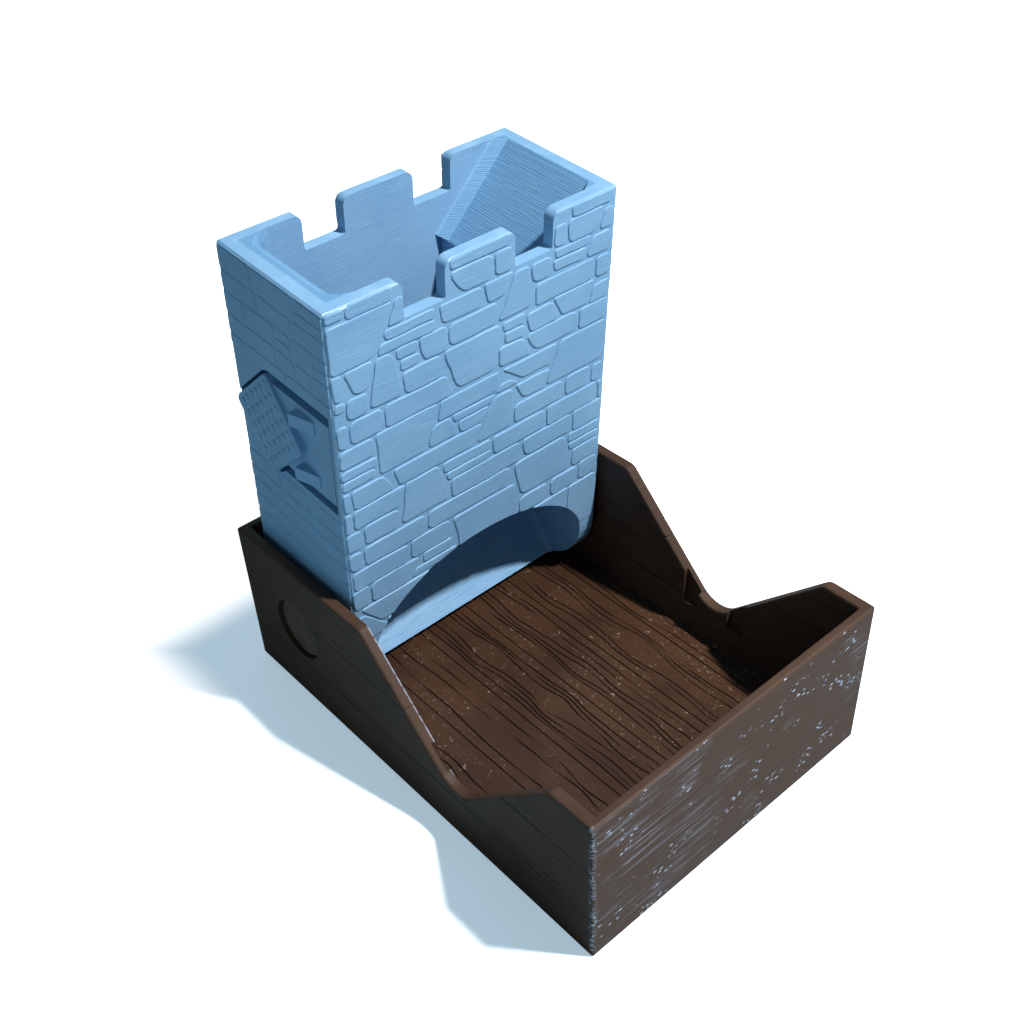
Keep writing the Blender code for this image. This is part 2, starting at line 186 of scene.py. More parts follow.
def wallPlace(side):
    # a wall's own sheet: u to the right, v up, w out of the wall, from the pivot's height
    w = {"front": (0, -1, 0), "back": (0, 1, 0), "left": (-1, 0, 0), "right": (1, 0, 0)}[side]
    w = Vector(w)
    v = Vector((0, 0, 1))
    u = v.cross(w)
    depth = tower["halfDepth"] if side in ("front", "back") else tower["halfWidth"]
    turn = Matrix((u, v, w)).transposed().to_4x4()
    return towerPlace @ Matrix.Translation(w * depth) @ turn


# materials

towerLook = {
    "base": colour(130, 172, 207),
    "light": colour(144, 184, 217),
    "dark": colour(120, 163, 199),
    "printMeshAndShade": colour(92, 142, 182),
    "layerBump": 0.07 * mm,
    "layerHeight": 0.3 * mm,
    "meshHalf": (36.6, 15.4),
    "meshPitch": 0.4,
    "insideShadeFrom": 60.0,
    "insideShadeFull": 72.0,
}


def towerFinish(name, look):
    finish = Finish(name)
    middle = Matrix.Rotation(-lean, 3, "X") @ (Vector(tower["pivot"]) * mm)
    upright = finish.place(move=-middle, turn=(-lean, 0, 0))
    x, y, z = finish.axes(upright)
    layers = finish.noise(finish.join(x * 130.0, y * 130.0, z * (1.0 / look["layerHeight"])), detail=2.0, rough=0.6)
    patches = finish.noise(upright, scale=45.0, detail=4.0)
    grain = finish.noise(upright, scale=1400.0, detail=2.0)
    tone = finish.mix(finish.smooth(patches, 0.35, 0.68), look["dark"], look["base"])
    tone = finish.mix(finish.smooth(layers, 0.45, 0.75) * 0.55, tone, look["light"])
    tone = finish.mix(finish.smooth(grain, 0.6, 0.8) * 0.25, tone, look["light"])
    # inside the walls the print lines show as a fine mesh, and the upper inside is darkened as painted shade
    halfX, halfY = look["meshHalf"]
    inner = ((1.0 - finish.smooth(abs(x), halfX * mm, (halfX + 0.5) * mm))
             * (1.0 - finish.smooth(abs(y), halfY * mm, (halfY + 0.5) * mm)))
    rowsUp = finish.sine(z * (math.tau / (look["meshPitch"] * mm)))
    rowsAcross = finish.sine(x * (math.tau / (look["meshPitch"] * 1.3 * mm)))
    mesh = (rowsUp + rowsAcross * 0.4) * inner
    # painted shade: the upper inside of the walls darkened towards the mesh colour
    insideShade = inner * finish.smooth(z, look["insideShadeFrom"] * mm, look["insideShadeFull"] * mm)
    tone = finish.mix(finish.smooth(mesh, 0.0, 1.3) * 0.5 + insideShade * 0.4, tone, look["printMeshAndShade"])
    bump = finish.bump(layers * (1.0 + inner * 0.8) + grain * 0.25 - mesh * 0.12, look["layerBump"])
    return finish.surface(Base_Color=tone, Roughness=0.3 + finish.smooth(layers, 0.3, 0.7) * 0.25,
                          Normal=bump, Specular_IOR_Level=0.45)


trayLook = {
    "base": colour(64, 45, 34),
    "light": colour(77, 56, 43),
    "dark": colour(28, 19, 14),
    "glint": colour(196, 206, 226),
    "front": colour(97, 72, 58),
    "wallJoints": (28.9, 13.2),
    "jointHalf": 0.22,
    "frontPlane": 63.7,
    "sidePlane": 45.0,
    "slopeRise": 31.6,
    "highlightLine": 42.2,
    "highlightFrom": -18.0,
    "highlightFull": -12.0,
    "layerBump": 0.09 * mm,
}


def trayFinish(name, look):
    finish = Finish(name)
    plain = finish.place()
    x, y, z = finish.axes(plain)
    facing = finish.node("ShaderNodeNewGeometry", out="Normal")
    nx, ny, nz = finish.axes(facing)
    isWall = 1.0 - finish.smooth(abs(nz), 0.5, 0.8)
    isEnd = finish.smooth(abs(ny), 0.5, 0.8)
    isOutside = finish.smooth(y * -1.0, (look["frontPlane"] - 0.5) * mm, (look["frontPlane"] - 0.1) * mm) * isEnd
    # print lines round the walls, and grain along each board
    lines = finish.noise(finish.join(x * 45.0, y * 45.0, z * 3200.0), rough=0.6)
    wallGrain = finish.noise(finish.join(x * 30.0, y * 30.0, z * 900.0), detail=4.0, distortion=0.4)
    floorGrain = finish.noise(finish.join(x * 1500.0, y * 60.0, z * 60.0))
    patches = finish.noise(plain, scale=38.0, detail=4.0)
    joints = 0.0
    for height in look["wallJoints"]:
        wave = finish.noise(plain, scale=90.0, detail=1.0) * (0.5 * mm)
        fromJoint = abs(z + wave - (height + 0.25) * mm)
        joints = 1.0 - finish.smooth(fromJoint, look["jointHalf"] * 0.4 * mm, look["jointHalf"] * 1.5 * mm) + joints
    joints = joints * isWall
    tone = finish.mix(finish.smooth(patches, 0.35, 0.7), look["base"], look["light"])
    tone = finish.mix(finish.smooth(wallGrain, 0.56, 0.68) * isWall * 0.55, tone, look["dark"])
    tone = finish.mix(joints * (0.3 + isEnd * 0.4), tone, look["dark"])
    # painted light: the outside of the front wall lighter and warmer, where the lamp falls on it
    tone = finish.mix(isOutside * 0.6, tone, look["front"])
    # painted highlights: bright flecks and streaks where the print lines catch the light on the front
    flecks = finish.node("ShaderNodeTexVoronoi", {"feature": "F1"},
                         {"Vector": finish.place(stretch=(0.6, 1.0, 1.15)), "Scale": 900.0, "Randomness": 1.0},
                         out="Distance")
    leftHalf = 1.0 - finish.smooth(x, -30.0 * mm, 10.0 * mm)
    clusters = finish.noise(finish.place(stretch=(1.0, 1.0, 1.7)), scale=120.0, rough=0.65) + leftHalf * 0.025
    fleckHighlight = (1.0 - finish.smooth(flecks, 0.24, 0.36)) * finish.smooth(clusters, 0.565, 0.62) * isOutside
    bands = finish.noise(plain, scale=70.0, detail=2.0) + leftHalf * 0.19
    streakHighlight = finish.smooth(lines, 0.56, 0.68) * finish.smooth(bands, 0.5, 0.66) * isOutside
    # painted highlights on the rounded edges: the front corner on the left, and the left slope behind the notch
    fromSide, fromFront = x + look["sidePlane"] * mm, y + look["frontPlane"] * mm
    cornerGap = (fromSide * fromSide + fromFront * fromFront) ** 0.5
    edgeHighlightNoise = finish.noise(finish.join(x * 900.0, y * 900.0, z * 1500.0))
    edgeHighlight = (1.0 - finish.smooth(cornerGap, 0.1 * mm, 1.5 * mm)) * finish.smooth(edgeHighlightNoise, 0.48, 0.64)
    fromLine, fromSlope = x + look["highlightLine"] * mm, z - y - look["slopeRise"] * mm
    slopeGap = (fromLine * fromLine + fromSlope * fromSlope * 0.5) ** 0.5
    slopeHighlight = finish.smooth(finish.noise(plain, scale=900.0), 0.34, 0.5)
    slopeHighlight = slopeHighlight * finish.smooth(y, look["highlightFrom"] * mm, look["highlightFull"] * mm)
    edgeHighlight = edgeHighlight + (1.0 - finish.smooth(slopeGap, 0.1 * mm, 0.5 * mm)) * slopeHighlight
    tone = finish.mix(fleckHighlight * 0.95 + streakHighlight * 0.5 + edgeHighlight * 0.55, tone, look["glint"])
    height = lines * 0.35 + wallGrain * 0.5 - joints * 2.6 + fleckHighlight * 2.0 + floorGrain * 0.2
    rough = 0.52 - fleckHighlight * 0.3 - streakHighlight * 0.15 + finish.smooth(patches, 0.3, 0.7) * 0.1
    return finish.surface(Base_Color=tone, Roughness=rough, Normal=finish.bump(height, look["layerBump"]),
                          Specular_IOR_Level=0.22)


boardLook = {
    "base": colour(57, 35, 21),
    "light": colour(72, 48, 31),
    "dark": colour(7, 4, 3),
    "scratch": colour(170, 150, 132),
    "grainBump": 0.05 * mm,
}


def boardFinish(name, look):
    finish = Finish(name)
    plain = finish.place()
    x, y, z = finish.axes(plain)
    depth = finish.node("ShaderNodeAttribute", {"attribute_type": "GEOMETRY", "attribute_name": "depth"}, out="Fac")
    grain = finish.noise(finish.join(x * 1400.0, y * 70.0, z))
    patches = finish.noise(plain, scale=40.0, detail=4.0)
    tone = finish.mix(finish.smooth(patches, 0.34, 0.7), look["base"], look["light"])
    tone = finish.mix(finish.smooth(grain, 0.5, 0.75) * 0.35, tone, look["dark"])
    # short curved hairs of plastic, gathered in places, and a few dots
    curl = finish.noise(plain, scale=430.0, detail=1.0, distortion=0.5)
    broken = finish.smooth(finish.noise(plain, scale=620.0, detail=1.0), 0.54, 0.62)
    gathered = finish.smooth(finish.noise(plain, scale=75.0), 0.47, 0.58)
    specks = (1.0 - finish.smooth(abs(curl - 0.5), 0.004, 0.02)) * broken * gathered
    dots = finish.smooth(finish.noise(plain, scale=1500.0, detail=1.0), 0.72, 0.8)
    specks = specks + dots * 0.8
    tone = finish.mix(specks * 0.55, tone, look["scratch"])
    # painted shade: grooves and board sides darker the deeper they lie
    tone = finish.mix(depth * 0.95, tone, look["dark"])
    bump = finish.bump(grain * 0.8 + specks * 1.5, look["grainBump"])
    return finish.surface(Base_Color=tone, Roughness=0.46 + depth * 0.3 - specks * 0.12, Normal=bump,
                          Specular_IOR_Level=0.28)


pinLook = {
    "base": colour(92, 62, 44),
    "dark": colour(58, 39, 28),
    "ringPitch": 0.42 * mm,
    "ringDrop": 20.0 * mm,
    "faceBump": 0.05 * mm,
}


def pinFinish(name, look):
    finish = Finish(name)
    plain = finish.place(move=[-part * mm for part in tower["pivot"]])
    x, y, z = finish.axes(plain)
    # arcs of the print's lines round a point below the pin
    drop = z + look["ringDrop"]
    rings = finish.sine((y * y + drop * drop) ** 0.5 * (math.tau / look["ringPitch"]))
    mottle = finish.noise(plain, scale=160.0, detail=4.0)
    tone = finish.mix(finish.smooth(mottle, 0.35, 0.7), look["base"], look["dark"])
    tone = finish.mix(finish.smooth(rings, 0.2, 0.9) * 0.35, tone, look["dark"])
    return finish.surface(Base_Color=tone, Roughness=0.45 + mottle * 0.15,
                          Normal=finish.bump(rings * 0.3 + mottle, look["faceBump"]))


stoneBlue = towerFinish("stone_blue_print", towerLook)
shellBlue = towerFinish("shell_blue_print", towerLook)
trayBrown = trayFinish("tray_brown_print", trayLook)
boardBrown = boardFinish("board_brown_print", boardLook)
pinBrown = pinFinish("pin_brown_print", pinLook)

for node, finish in {"tower_shell": shellBlue, "latch_tab_left": shellBlue, "latch_tab_right": shellBlue,
                     "tray": trayBrown, "pivot_pin_left": pinBrown, "pivot_pin_right": pinBrown}.items():
    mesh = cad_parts[node].data
    if not mesh.materials:
        mesh.materials.append(finish)
    for index in range(len(mesh.materials)):
        mesh.materials[index] = finish
print("finishes ready")


# stonework: each stone is a flat block with rounded corners and softened top edges, half sunk in the wall

stonework = {
    "sink": 0.25,
    "proud": 0.32,
    "sideProud": 0.12,
    "sideEdge": 0.1,
    "sideCorner": 0.8,
    "margin": 0.4,
    "corner": 1.15,
    "edge": 0.26,
    "wander": 0.08,
    "wave": 0.42,
    "spread": 0.14,
    "seed": 4,
    # left, right, top and bottom in mm from the front's left edge and from its top,
    # then how far the corners are pushed sideways
    "front": [
        (0.6, 4.6, 0.9, 2.7), (5.4, 16.8, 0.7, 3.6), (32.2, 48.6, 0.6, 3.1), (66.8, 79.2, 0.9, 3.6),
        (0.6, 13.6, 4.1, 15.1, 0, 3.4, -2.6, 0), (17.4, 19.2, 4.0, 9.4, 0.4, 0, 0, -2.0),
        (31.6, 43.4, 3.8, 9.6, 0.4, 0.2, -0.6, 3.6), (44.2, 49.0, 3.8, 9.5),
        (66.0, 75.8, 4.2, 9.7, -0.4, 1.0, -1.6, 0.2), (77.2, 79.4, 5.0, 9.8, 0.4, 0, 0, -1.8), (61.4, 65.0, 4.4, 9.1),
        (14.4, 27.2, 10.3, 12.5), (12.4, 27.6, 13.1, 15.5, 0.6, 0, 0, 0), (28.6, 40.4, 10.6, 15.1, 0, 0, 0, 1.2),
        (41.2, 47.6, 10.5, 15.2, 0, 1.6, -0.8, 0.8), (47.6, 55.0, 10.8, 21.2, 2.6, -1.2, 0.2, -2.2),
        (55.0, 60.8, 11.0, 15.6, -0.4, 0, 0, 0.4), (61.6, 72.6, 10.2, 12.1, 0, 0, -0.4, 0.6),
        (61.6, 71.0, 12.8, 15.3, 0, 0.4, 0, 0.4), (71.8, 79.4, 11.0, 15.8, 1.6, 0, 0, 0), (0.6, 2.8, 15.8, 21.9),
        (3.8, 9.6, 15.9, 22.1, -0.4, 1.4, -0.2, 2.4), (10.4, 17.2, 16.2, 27.6, 1.4, -1.4, 1.0, -1.0),
        (17.0, 22.4, 16.1, 18.5), (17.8, 22.8, 19.4, 21.7), (23.2, 30.4, 16.0, 22.0, -0.4, 0, 0, 1.0),
        (31.2, 44.6, 16.3, 21.5), (56.2, 74.2, 16.8, 22.0, 0, 0, 0, 0.6), (75.2, 79.4, 17.2, 22.1),
        (0.6, 3.2, 22.8, 24.9), (3.8, 8.8, 23.0, 27.9), (18.4, 28.6, 22.7, 28.2, 0, 0, 0, 0.7),
        (29.4, 45.8, 22.5, 33.6, 0, 0, -1.6, 4.2), (46.8, 53.4, 22.5, 24.9), (47.0, 53.0, 25.7, 28.2),
        (54.0, 61.6, 23.2, 28.4, 0, 0, 2.2, 0.4), (62.4, 73.8, 22.6, 28.1, -0.4, 0.8, -1.2, 2.6),
        (72.6, 79.4, 24.2, 28.6, 2.5, 0, 0, 0.8), (0.6, 3.0, 28.9, 34.2), (3.8, 12.6, 28.8, 34.2),
        (13.6, 31.2, 28.8, 34.4, 0, -1.2, 1.0, -0.4), (45.7, 54.4, 29.0, 34.0, 0, -2.0, 1.0, 0),
        (56.0, 69.4, 29.0, 34.1, -2.4, 0, 0, 1.0), (70.4, 79.4, 29.2, 34.5), (0.6, 9.8, 35.3, 39.9),
        (10.8, 26.0, 35.0, 46.1, 0, 1.6, -2.8, 0), (0.6, 10.0, 40.8, 43.1), (0.8, 9.4, 43.8, 46.0),
        (27.8, 45.4, 35.2, 40.0, 0.8, 0, -0.8, -0.6), (24.2, 32.4, 40.8, 46.2, 1.7, -1.6, 0.6, 0.2),
        (31.6, 43.6, 40.8, 42.6, 0, 0.2, -0.4, 0.6), (33.4, 42.8, 43.3, 46.5, 0, -0.2, -2.0, 0.3),
        (44.4, 51.6, 39.0, 40.6, 1.6, -3.0, 0, 0), (46.6, 62.8, 35.3, 40.0, 0, 0.8, -1.2, 6.4),
        (40.2, 49.8, 41.8, 52.0, 4.0, 0, 0, -1.8), (50.8, 60.0, 41.6, 46.1, 0, 1.2, -0.2, 2.4),
        (61.0, 79.4, 35.4, 46.1, 3.6, 0, 0, -0.4), (0.6, 2.2, 47.2, 52.2), (2.9, 13.6, 47.2, 52.2, 0, -2.2, 0.4, 0),
        (14.4, 38.4, 47.2, 52.1, 0, 1.6, -0.8, 1.0), (50.2, 66.0, 47.2, 52.1), (67.0, 74.8, 47.2, 52.2),
        (75.8, 79.4, 47.6, 52.4), (0.6, 2.0, 53.0, 58.2), (2.8, 16.8, 53.0, 58.1, 0, 0.2, -1.2, 0),
        (15.9, 29.6, 52.9, 64.0, 1.6, -2.8, 0.4, 0), (28.4, 43.0, 53.2, 55.8), (29.3, 42.8, 56.5, 58.5, 0, 0, 0, 0.4),
        (43.8, 60.2, 53.3, 58.4), (61.0, 77.6, 53.2, 58.6, 0, 0, -0.8, 0), (78.4, 79.6, 53.6, 58.4),
        (0.6, 4.4, 59.2, 64.2), (5.4, 14.6, 59.0, 64.2), (31.0, 52.0, 59.1, 64.6),
        (53.0, 69.4, 59.2, 64.4, 0, 0, 0, 0.8), (70.3, 79.4, 59.2, 65.0), (0.6, 4.0, 65.4, 70.4),
        (4.8, 22.4, 65.3, 70.6), (23.3, 49.2, 65.3, 70.5, 0, -0.4, 0, 0),
        (51.2, 68.4, 65.5, 76.5, -1.0, -1.0, 0.8, 2.0), (68.8, 79.4, 65.8, 68.3), (69.2, 79.4, 69.0, 70.9),
        (1.0, 17.0, 71.4, 76.7), (17.9, 30.0, 71.2, 76.6), (31.2, 51.4, 71.6, 82.6, 0, -0.8, 0.6, 2.0),
        (70.6, 79.4, 71.6, 76.8), (0.6, 4.9, 77.2, 83.0), (5.8, 20.8, 77.2, 83.2, 0, -0.4, -4.6, 0),
        (21.4, 30.0, 77.2, 79.9), (17.6, 31.8, 80.7, 82.8, 1.2, 0, 0, 0), (52.6, 61.8, 77.8, 82.9),
        (63.0, 72.2, 77.8, 82.9, 0, 0, 0, 0.6), (73.2, 79.4, 77.4, 82.9), (2.0, 28.0, 83.9, 90.6, 0, 0, 0, 6.2),
        (0.8, 11.0, 86.2, 94.6, 0, -8.0, 0, 1.8), (9.4, 14.0, 91.4, 95.0, 0, 0, 0, 2.8), (56.0, 69.2, 83.8, 98.0),
        (69.9, 79.6, 83.8, 99.0),
    ],
}


# noise_vector starts from the clock unless it is given a seed
noise.seed_set(stonework["seed"])


def warp(u, v, seed):
    # small wander that neighbours share, so that stones get wavy sides and never meet
    drift = noise.noise_vector(Vector((u * 0.16, v * 0.22, seed)))
    ripple = noise.noise_vector(Vector((u * 0.5, v * 0.6, seed + 5.0)))
    return (u + stonework["wave"] * (drift.x + 0.45 * ripple.x),
            v + stonework["wave"] * (0.5 * drift.y + 0.3 * ripple.y))


def layStone(wall, corners, corner, edge, proud, place, scratch, seed, reach):
    # one stone on a wall's sheet: rounded outline, wavy sides, softened top edge, kept within reach of the middle
    bm = bmesh.new()
    face = bm.faces.new([bm.verts.new((u, v, -stonework["sink"])) for u, v in corners])
    bmesh.ops.bevel(bm, geom=bm.verts[:], affect="VERTICES", offset=corner, segments=3, profile=0.5, material=-1,
                    clamp_overlap=True)
    sides = [line for line in bm.edges if line.calc_length() > 2.4]
    bmesh.ops.subdivide_edges(bm, edges=sides, cuts=3)
    for vert in bm.verts:
        u, v = warp(vert.co.x, vert.co.y, seed)
        vert.co.x, vert.co.y = min(max(u, -reach), reach), v
    grown = bmesh.ops.extrude_face_region(bm, geom=bm.faces[:])["geom"]
    top = [part for part in grown if isinstance(part, bmesh.types.BMVert)]
    bmesh.ops.translate(bm, verts=top, vec=(0, 0, stonework["sink"] + proud))
    bmesh.ops.recalc_face_normals(bm, faces=bm.faces[:])
    bm.normal_update()
    rim = [line for line in bm.edges if min(v.co.z for v in line.verts) > proud - 0.01]
    bmesh.ops.bevel(bm, geom=rim, affect="EDGES", offset=edge, segments=2, profile=0.5, material=-1,
                    clamp_overlap=True)
    bmesh.ops.transform(bm, matrix=place, verts=bm.verts[:])
    bm.to_mesh(scratch)
    bm.free()
    wall.from_mesh(scratch)


def stoneCorners(left, right, top, bottom, push, rng):
    # anticlockwise from the lower left, each corner a little out of true
    more, wander = stonework["spread"], stonework["wander"]
    spots = [(left + push[3] - more, bottom - more), (right + push[2] + more, bottom - more),
             (right + push[1] + more, top + more), (left + push[0] - more, top + more)]
    return [(u + rng.uniform(-wander, wander), v + rng.uniform(-wander, wander)) for u, v in spots]


def cutWith(piece, cutter):
    # takes the cutter's shape out of a piece for good
    change = piece.modifiers.new("cut", "BOOLEAN")
    change.operation = "DIFFERENCE"
    change.solver = "EXACT"
    change.object = cutter
    change.use_self = True
    bpy.context.view_layer.update()
    shown = piece.evaluated_get(bpy.context.evaluated_depsgraph_get())
    made = bpy.data.meshes.new_from_object(shown)
    piece.modifiers.remove(change)
    old = piece.data
    piece.data = made
    bpy.data.meshes.remove(old)


def cutterObject(name, bm):
    mesh = bpy.data.meshes.new(name)
    bmesh.ops.recalc_face_normals(bm, faces=bm.faces[:])
    bm.to_mesh(mesh)
    bm.free()
    made = bpy.data.objects.new(name, mesh)
    scene.collection.objects.link(made)
    return made


def archAndCrenels():
    # the arch and the two gaps of the battlements, a hair wider than in the shell
    bm = bmesh.new()
    bmesh.ops.create_circle(bm, cap_ends=True, segments=96, radius=1.0)
    clear = 0.06
    for vert in bm.verts:
        u, v = vert.co.x, vert.co.y
        rise = tower["archTop"] - tower["archSpring"] + clear
        high = v * rise if v > 0 else v * 30.0
        vert.co = (u * (tower["archHalf"] + clear), tower["archSpring"] + high, -10.0)
    grown = bmesh.ops.extrude_face_region(bm, geom=bm.faces[:])["geom"]
    bmesh.ops.translate(bm, verts=[g for g in grown if isinstance(g, bmesh.types.BMVert)], vec=(0, 0, 20.0))
    for side in (-1, 1):
        box = bmesh.ops.create_cube(bm, size=1.0)["verts"]
        bmesh.ops.scale(bm, vec=(tower["crenelWidth"] + 2 * clear, 20.0, 120.0), verts=box)
        middle = (side * tower["crenelCentre"], tower["crenelFoot"] - clear + 10.0, -tower["halfDepth"])
        bmesh.ops.translate(bm, vec=middle, verts=box)
    bmesh.ops.transform(bm, matrix=wallPlace("front"), verts=bm.verts[:])
    return cutterObject("front_openings", bm)


def courses(rows, left, right, rng, longest, shortest, keepOut=()):
    # stones in uneven courses, where a few courses are two thin stones high
    stones = []
    for bottom, top in rows:
        at = left + rng.uniform(-3.0, 0.0)
        while at < right - 1.0:
            width = rng.uniform(shortest, longest)
            start, end = max(at, left), min(at + width, right)
            at += width + 0.8
            if right - at < 2.0:
                end = right
                at = right
            if end - start < 1.4:
                continue
            if any(start < k[1] and end > k[0] and bottom < k[3] and top > k[2] for k in keepOut):
                continue
            if top - bottom > 4.6 and rng.random() < 0.22:
                half = (top + bottom) / 2
                stones.append((start, end, bottom, half - 0.35))
                stones.append((start, end, half + 0.35, top))
            else:
                stones.append((start, end, bottom, top))
    return stones


scratch = bpy.data.meshes.new("scratch")
rng = random.Random(7)


def shadeFlat(piece):
    for face in piece.data.polygons:
        face.use_smooth = False


def faceWall(name, side, stones, rng, seed):
    # stones as corners; those that the arch or a gap crosses are cut by it
    clear, crossed = bmesh.new(), bmesh.new()
    place = wallPlace(side)
    for spots in stones:
        us, vs = [spot[0] for spot in spots], [spot[1] for spot in spots]
        small = min(max(us) - min(us), max(vs) - min(vs))
        inArch = (side == "front" and min(vs) < tower["archTop"] + 1.0
                  and min(abs(u) for u in us) < tower["archHalf"] + 1.5)
        inGap = max(vs) > tower["crenelFoot"] - 0.8 and any(
            min(us) < c * tower["crenelCentre"] + tower["crenelWidth"] / 2 + 0.8
            and max(us) > c * tower["crenelCentre"] - tower["crenelWidth"] / 2 - 0.8 for c in (-1, 1))
        corner = min(stonework["corner"] * rng.uniform(0.7, 1.5), 0.36 * small)
        layStone(crossed if inArch or inGap else clear, spots, corner,
                 stonework["edge"], stonework["proud"] * rng.uniform(0.85, 1.0), place, scratch, seed,
                 tower["halfWidth"] - stonework["margin"])
    piece = finishPiece(name, crossed, stoneBlue, "tower")
    cutWith(piece, openings)
    clear.from_mesh(piece.data)
    clear.to_mesh(piece.data)
    clear.free()
    shadeFlat(piece)


openings = archAndCrenels()
frontSpots = []
for stone in stonework["front"]:
    left, right, top, bottom = stone[:4]
    frontSpots.append(stoneCorners(left - tower["halfWidth"], right - tower["halfWidth"], tower["datum"] - top,
                                   tower["datum"] - bottom, stone[4:] or (0, 0, 0, 0), rng))
faceWall("front_stones", "front", frontSpots, rng, 1.0)
print("front stones laid:", len(frontSpots))

# the other walls' courses, bottom and top over the pivot
backRows = [(92.2, 99.4), (87.0, 91.2), (81.2, 86.2), (77.6, 80.4), (71.0, 76.8), (66.6, 70.2),
            (60.0, 65.8), (54.2, 59.2), (50.6, 53.4), (44.6, 49.8), (39.4, 43.8), (33.4, 38.6),
            (29.8, 32.6), (23.8, 29.0), (18.6, 23.0), (12.6, 17.8), (7.6, 11.8), (1.6, 6.8)]
rng = random.Random(21)
backSpots = []
for left, right, bottom, top in courses(backRows, -39.6, 39.6, rng, 22.0, 6.0):
    push = [rng.uniform(-0.8, 0.8) if rng.random() < 0.3 and -39 < u < 39 else 0.0 for u in (left, right, right, left)]
    backSpots.append(stoneCorners(left, right, top, bottom, push, rng))
faceWall("back_stones", "back", backSpots, rng, 30.0)

sideRows = [(94.4, 99.6), (89.4, 93.7), (83.6, 88.7), (78.6, 82.8), (75.2, 77.8),
            (40.9, 45.4), (37.0, 40.2), (32.2, 36.3), (27.0, 31.4), (21.0, 26.2), (15.6, 20.2), (9.8, 14.8)]
for side, seed in (("left", 5), ("right", 12)):
    rng = random.Random(seed)
    sideWall = bmesh.new()
    for left, right, bottom, top in courses(sideRows, -18.6, 18.6, rng, 15.0, 5.0):
        spots = stoneCorners(left, right, top, bottom, (0, 0, 0, 0), rng)
        small = min(right - left, top - bottom)
        layStone(sideWall, spots, min(stonework["sideCorner"], 0.3 * small), stonework["sideEdge"],
                 stonework["sideProud"], wallPlace(side), scratch, 50.0 + seed,
                 tower["halfDepth"] - stonework["margin"])
    shadeFlat(finishPiece(side + "_stones", sideWall, stoneBlue, "tower"))
bpy.data.meshes.remove(openings.data)
print("walls faced with stone")


# thumb pads: rows of small raised scales on the sloping pad

pad = {
    "centreBack": 5.8,
    "centreUp": 60.0,
    "side": 19.7,
    "proudLow": 0.6,
    "proudHigh": 2.0,
    "rows": 6,
    "pitch": 3.0,
    "scaleLong": 3.0,
    "scaleWide": 1.7,
    "scaleHigh": 0.34,
}


def padScales(side):
    # u and v run along the pad's edges
    bm = bmesh.new()
    slope = (pad["proudHigh"] - pad["proudLow"]) / pad["side"]
    for row in range(pad["rows"]):
        for column in range(pad["rows"]):
            u = (row - (pad["rows"] - 1) / 2) * pad["pitch"]
            v = (column - (pad["rows"] - 1) / 2) * pad["pitch"]
            made = bmesh.ops.create_icosphere(bm, subdivisions=2, radius=1.0)["verts"]
            bmesh.ops.scale(bm, vec=(pad["scaleHigh"], pad["scaleWide"] / 2, pad["scaleLong"] / 2), verts=made)
            bmesh.ops.rotate(bm, matrix=Matrix.Rotation(math.radians(45), 3, "X"), verts=made)
            centre = Vector(((pad["proudLow"] + pad["proudHigh"]) / 2 - v * slope, u, v))
            bmesh.ops.translate(bm, vec=centre, verts=made)
    bmesh.ops.rotate(bm, matrix=Matrix.Rotation(-math.pi / 4, 3, "X"), verts=bm.verts[:])
    bmesh.ops.translate(bm, vec=(tower["halfWidth"], pad["centreBack"], pad["centreUp"]), verts=bm.verts[:])
    if side == "left":
        bmesh.ops.scale(bm, vec=(-1, 1, 1), verts=bm.verts[:])
        bmesh.ops.reverse_faces(bm, faces=bm.faces[:])
    bmesh.ops.transform(bm, matrix=towerPlace, verts=bm.verts[:])
    return bm


for side in ("left", "right"):
    finishPiece("pad_scales_" + side, padScales(side), stoneBlue, "latch_" + side)
print("thumb pads finished")


# tray floor: six boards with grain grooves that run round the knots

floorBoards = {
    "halfWidth": 41.9,
    "front": -61.2,
    "back": 61.2,
    "floor": 3.0,
    "sink": 0.3,
    "proud": 0.42,
    "joint": 0.55,
    "joints": (-27.0, -12.0, 3.8, 19.1, 34.4),
    "grooveHalf": 0.2,
    "grooveDeep": 0.32,
    "rowPitch": 0.8,
    "sway": 0.5,
}
# for each board: its grain lines across, and its knots as across, along, push and reach
grain = [
    {"lines": (-40.4, -38.6, -36.6, -34.2),
     "knots": ((-37.6, -4.0, 1.6, 5.0), (-36.0, -40.0, 1.2, 5.0))},
    {"lines": (-23.4, -18.6, -15.9),
     "knots": ((-20.0, -6.0, 0.9, 20.0), (-21.0, 34.0, -1.2, 8.0), (-16.8, -32.0, -1.2, 7.0))},
    {"lines": (-9.4, -8.2, -6.8, -5.2, -1.6, 0.0, 1.4),
     "knots": ((-3.2, -8.0, 1.7, 5.0), (-4.0, 18.0, 1.5, 8.0), (-2.6, -30.0, -1.2, 9.0),
               (-6.4, -46.0, 0.8, 4.0))},
    {"lines": (7.4, 9.0, 10.4, 12.0, 14.4, 16.0),
     "knots": ((9.8, -4.0, 1.0, 7.0), (13.2, 22.0, 1.2, 9.0), (11.0, -38.0, 0.9, 6.0))},
    {"lines": (22.6, 24.2, 27.0, 28.8, 30.4),
     "knots": ((25.4, 22.0, 1.7, 8.0), (25.8, -8.0, 2.1, 9.0), (24.6, -38.0, 1.3, 6.0))},
    {"lines": (36.8, 38.8, 40.2),
     "knots": ((38.0, 2.0, 1.2, 8.0), (37.6, -34.0, 1.0, 6.0))},
]


